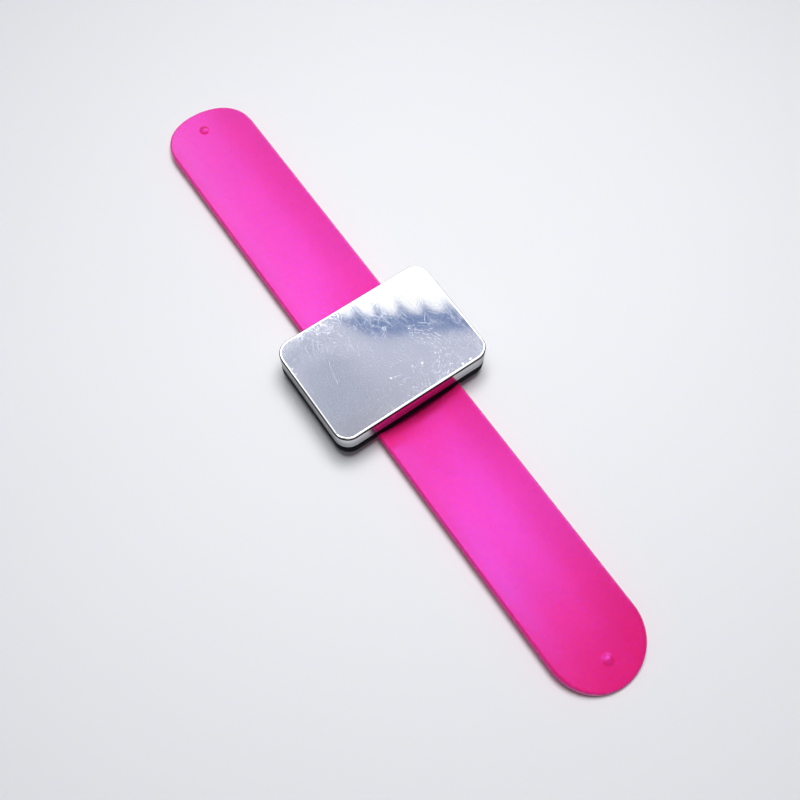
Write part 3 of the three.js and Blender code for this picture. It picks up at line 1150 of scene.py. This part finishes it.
def sky(settings):
    """Even light from all round; reflections see a pale room over a dim horizon, dimmer on the -Y side."""
    world = bpy.data.worlds.new("studio")
    world.use_nodes = True
    bpy.context.scene.world = world
    w = Wiring(world.node_tree)
    w.tree.nodes.clear()
    rays = w.make("ShaderNodeLightPath").outputs
    camera_ray, diffuse_ray, glossy_ray = (
        Level(w, rays[f"Is {kind} Ray"]) for kind in ("Camera", "Diffuse", "Glossy")
    )
    _, y, z = w.parts(w.make("ShaderNodeTexCoord").outputs["Generated"])
    room = z.above(0.45, 0.6) * y.above(-0.62, -0.38)
    mirrored = settings.horizon + (settings.room - settings.horizon) * room
    strength = camera_ray + diffuse_ray * settings.sky + glossy_ray * mirrored
    tone = w.tint(diffuse_ray, settings.floor_colour, settings.sky_colour)
    w.make("ShaderNodeOutputWorld", Surface=w.out("ShaderNodeBackground", Color=tone, Strength=strength))


def floor(settings):
    """A pale floor, far larger than the view."""
    mesh = bpy.data.meshes.new("floor")
    turns = np.linspace(0, 2 * math.pi, FLOOR_SIDES + 1)[:-1]
    ring = [(FLOOR_REACH * math.cos(turn), FLOOR_REACH * math.sin(turn), 0) for turn in turns]
    mesh.from_pydata(ring, [], [tuple(range(FLOOR_SIDES))])
    f = Finish("pale_floor")
    tone = settings.floor_colour
    base = f.tint(f.noise(f.millimetres(), 0.01, 2), shifted(tone, 0.985), shifted(tone, 1.01))
    f.shade(Base_Color=base, Roughness=0.6, Specular_IOR_Level=0.1)
    made = coated(link_object("floor", mesh), f.material)


def plate_picture(f, x, y):
    """What the plate mirrors, a grey room with a blue band, and its toothed bright window as a mask."""
    place = f.joined(x, y, 0.0)
    drift = f.noise(place, 0.1, 2)
    tooth = 1 - (y + drift * 1.5 - 1.25).wave(3.1)
    peak = tooth * tooth
    sill = y * 0.57 + drift * 1.6 + (y + 2).smaller(0.0) * 0.5 - 13.4
    window = ((sill - x - peak * (3.4 - y.larger(0.0) * 0.1)) / (1.3 + peak * 7)).above(0, 1)
    band_edge = y * 0.56 + y.smaller(0.0) * 1.3 - 3
    band = (x - band_edge + drift * 2).below(-4, 2) * y.above(-15, -4)
    stain = f.noise(place, 0.09, 3).above(0.45, 0.7) * y.below(-9, -5) * x.below(-15, -9)
    cloud = f.noise(place, 0.13, 3).above(0.3, 0.7) * y.below(-8, 2) * x.below(-9, 3)
    corner = y.below(-16, -6) * x.below(8, 18)
    tone = f.tint((x * 0.5 - y * 0.5 + 4).above(2, 28), (0.6, 0.62, 0.75), (0.42, 0.43, 0.5))
    tone = f.layered(
        tone,
        (corner * 0.9, (0.47, 0.5, 0.61)),
        (cloud * 0.45, (0.76, 0.78, 0.90)),
        (stain * 0.6, (0.45, 0.52, 0.70)),
        (band, (0.21, 0.29, 0.51)),
        (window, WHITE),
    )
    return tone, window


def strap_light(x, y):
    """How bright the card is where the strap mirrors it: behind, ahead of and beside the head."""
    behind = x.below(-24, -20)
    ahead = x.below(67, 104) * x.above(27, 41) * 1.32
    beside = abs(x).below(20, 28) * (1 - behind) * 0.4
    lengthwise = behind * (0.76 + x.above(-54, -28)) + (1 - behind) * ahead + beside
    return lengthwise * (0.66 + y.above(-80, -10) * 0.34 + y.above(80, 150) * 0.2)


def mirrored_window(settings):
    """A card over the plate that only reflections see, with its pattern laid out as the plate mirrors it."""
    mesh = bpy.data.meshes.new("window_card")
    height = CARD_RISE + PLATE_HIGH[2]
    mesh.from_pydata([(x, y, height) for x, y in CARD_CORNERS], [], [(0, 1, 2, 3)])
    f = Finish("window_card")
    f.tree.nodes.remove(f.shader)
    out_x, out_y, _ = f.parts(f.millimetres((HEAD_X, HEAD_Y, 0)))
    x = (out_x - MIRROR_SHIFT[0]) / MIRROR_SCALE
    y = (out_y - MIRROR_SHIFT[1]) / MIRROR_SCALE
    picture, window = plate_picture(f, x, y)
    outside = 1 - abs(x).below(20, 23) * abs(y).below(28.5, 32)
    strength = (1 + window * (settings.window - 1)) * (1 - outside)
    strength = strength + strap_light(x, y) * outside * settings.ceiling
    glow = f.out("ShaderNodeEmission", Color=f.tint(outside, picture, WHITE), Strength=strength)
    shown = x.above(-300, -260) * x.below(165, 200) * y.above(-220, -190) * y.below(260, 300)
    mixed = f.make("ShaderNodeMixShader")
    for socket, value in zip(mixed.inputs, (shown, f.out("ShaderNodeBsdfTransparent"), glow)):
        f.feed(socket, value)
    f.feed(f.tree.nodes["Material Output"].inputs["Surface"], mixed.outputs[0])
    card = coated(link_object("window_card", mesh), f.material)
    card.visible_camera = False
    card.visible_diffuse = False
    card.visible_shadow = False
    card.visible_transmission = False


def lamp(name, place, size, power):
    """A square soft lamp aimed at the object, which reflections don't show."""
    light = bpy.data.lights.new(name, "AREA")
    light.shape = "SQUARE"
    light.size = size
    light.energy = power
    made = link_object(name, light)
    made.location = place
    made.rotation_euler = (-Vector(place)).to_track_quat("-Z", "Y").to_euler()
    made.visible_glossy = False


def camera(settings):
    """The camera at the photograph's place and angle."""
    data = bpy.data.cameras.new("camera")
    data.sensor_width = 36
    data.lens = settings.lens
    data.clip_start = 0.01
    made = link_object("camera", data)
    azimuth, elevation, roll = (math.radians(angle) for angle in CAMERA_ANGLES)
    flat = math.cos(elevation)
    back = Vector((flat * math.cos(azimuth), flat * math.sin(azimuth), math.sin(elevation)))
    level = (-back).cross(Vector((0, 0, 1))).normalized()
    up = level.cross(-back)
    side = math.cos(roll) * level + math.sin(roll) * up
    over = -math.sin(roll) * level + math.cos(roll) * up
    turn = Matrix((side, over, back)).transposed().to_4x4()
    made.matrix_world = Matrix.Translation(CAMERA_PLACE) @ turn
    bpy.context.scene.camera = made


class WRISTBAND_OT_stage(bpy.types.Operator):
    """Set up the camera, the floor, the light and what the steel mirrors"""

    bl_idname = "wristband.stage"
    bl_label = "Stage"

    def execute(self, context):
        settings = context.scene.wristband_stage
        context.scene.view_settings.view_transform = "Standard"
        camera(settings)
        floor(settings)
        sky(settings)
        mirrored_window(settings)
        lamp("overhead", LAMP_PLACE, LAMP_SIZE, settings.overhead_power)
        return {"FINISHED"}


OPERATORS = (
    WRISTBAND_OT_stage,
    WRISTBAND_OT_strap_lengths,
    WRISTBAND_OT_strap_tips,
    WRISTBAND_OT_pin_plate,
    WRISTBAND_OT_magnet_base,
    WRISTBAND_OT_foam_pads,
    WRISTBAND_OT_inner_parts,
)


class WRISTBAND_PT_panel(bpy.types.Panel):
    """Lists the wristband's settings and operators"""

    bl_idname = "WRISTBAND_PT_panel"
    bl_label = "Magnetic Wristband"
    bl_space_type = "VIEW_3D"
    bl_region_type = "UI"
    bl_category = "Wristband"

    def draw(self, context):
        for name in SETTINGS:
            group = getattr(context.scene, name)
            column = self.layout.column(align=True)
            for prop in group.bl_rna.properties:
                if prop.identifier not in ("rna_type", "name"):
                    column.prop(group, prop.identifier)
        for operator in OPERATORS:
            self.layout.operator(operator.bl_idname)


SETTINGS = {
    "wristband_strap": StrapSettings,
    "wristband_plate": PlateSettings,
    "wristband_base": BaseSettings,
    "wristband_stage": StageSettings,
}


def register():
    for group in SETTINGS.values():
        bpy.utils.register_class(group)
    for operator in OPERATORS:
        bpy.utils.register_class(operator)
    bpy.utils.register_class(WRISTBAND_PT_panel)
    for name, group in SETTINGS.items():
        setattr(bpy.types.Scene, name, PointerProperty(type=group))


def unregister():
    for name in SETTINGS:
        delattr(bpy.types.Scene, name)
    bpy.utils.unregister_class(WRISTBAND_PT_panel)
    for operator in reversed(OPERATORS):
        bpy.utils.unregister_class(operator)
    for group in reversed(SETTINGS.values()):
        bpy.utils.unregister_class(group)


def main():
    """Makes the wristband and its stage."""
    register()
    bpy.ops.wristband.stage()
    bpy.ops.wristband.strap_lengths()
    bpy.ops.wristband.strap_tips()
    bpy.ops.wristband.pin_plate()
    bpy.ops.wristband.magnet_base()
    bpy.ops.wristband.foam_pads()
    bpy.ops.wristband.inner_parts()


if __name__ == "__main__":
    main()
